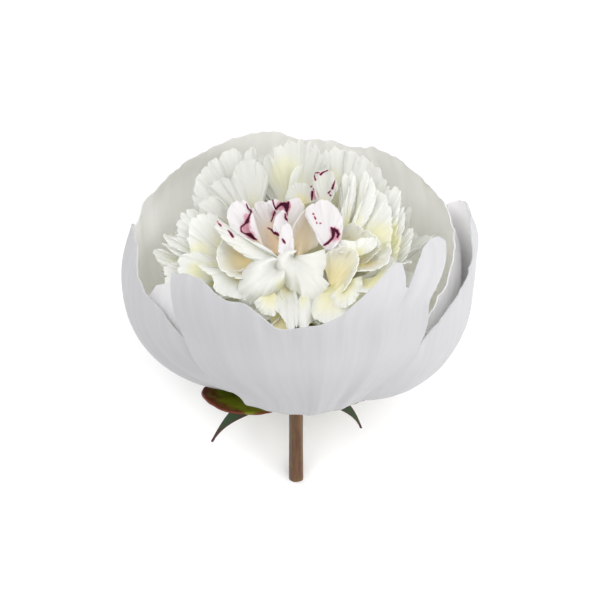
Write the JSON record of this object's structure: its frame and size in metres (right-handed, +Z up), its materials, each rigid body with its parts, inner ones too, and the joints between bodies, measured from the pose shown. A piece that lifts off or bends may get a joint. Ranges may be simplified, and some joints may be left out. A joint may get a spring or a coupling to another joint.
{
  "type": "peony",
  "caption": "Cut double white peony bloom with a cup of broad guard petals, ruffled cream inner petals, green sepals and a short stem, lying on its side.",
  "frame": {"origin": "on the surface that the flower lies on, under the middle of its outline", "axes": "+Z up from the surface; the bloom's own axis leans back from +Z towards +Y, so the stem's cut end points towards -Y and the bloom's open face looks up and towards +Y"},
  "size_m": [0.1238, 0.1228, 0.1077],
  "materials": {
    "guard": "soft white petal, satin, faint veins",
    "inner": "white to cream petals, a few with dark crimson flecks on their margins",
    "sepal": "satin green leaf tissue with a reddish margin",
    "stem": "smooth brown-green plant stem"
  },
  "bodies": {
    "root": {"guard_petal_front": "guard", "guard_petal_right": "guard", "guard_petal_left": "guard", "guard_petal_back": "guard", "guard_petal_back_right": "guard", "guard_petal_back_left": "guard", "guard_petal_inner_left": "guard", "inner_petals": "inner", "sepal_left": "sepal", "sepal_right": "sepal", "sepal_back": "sepal", "leafy_sepal_left": "sepal", "leafy_sepal_right": "sepal", "stem": "stem"}
  },
  "joints": []
}
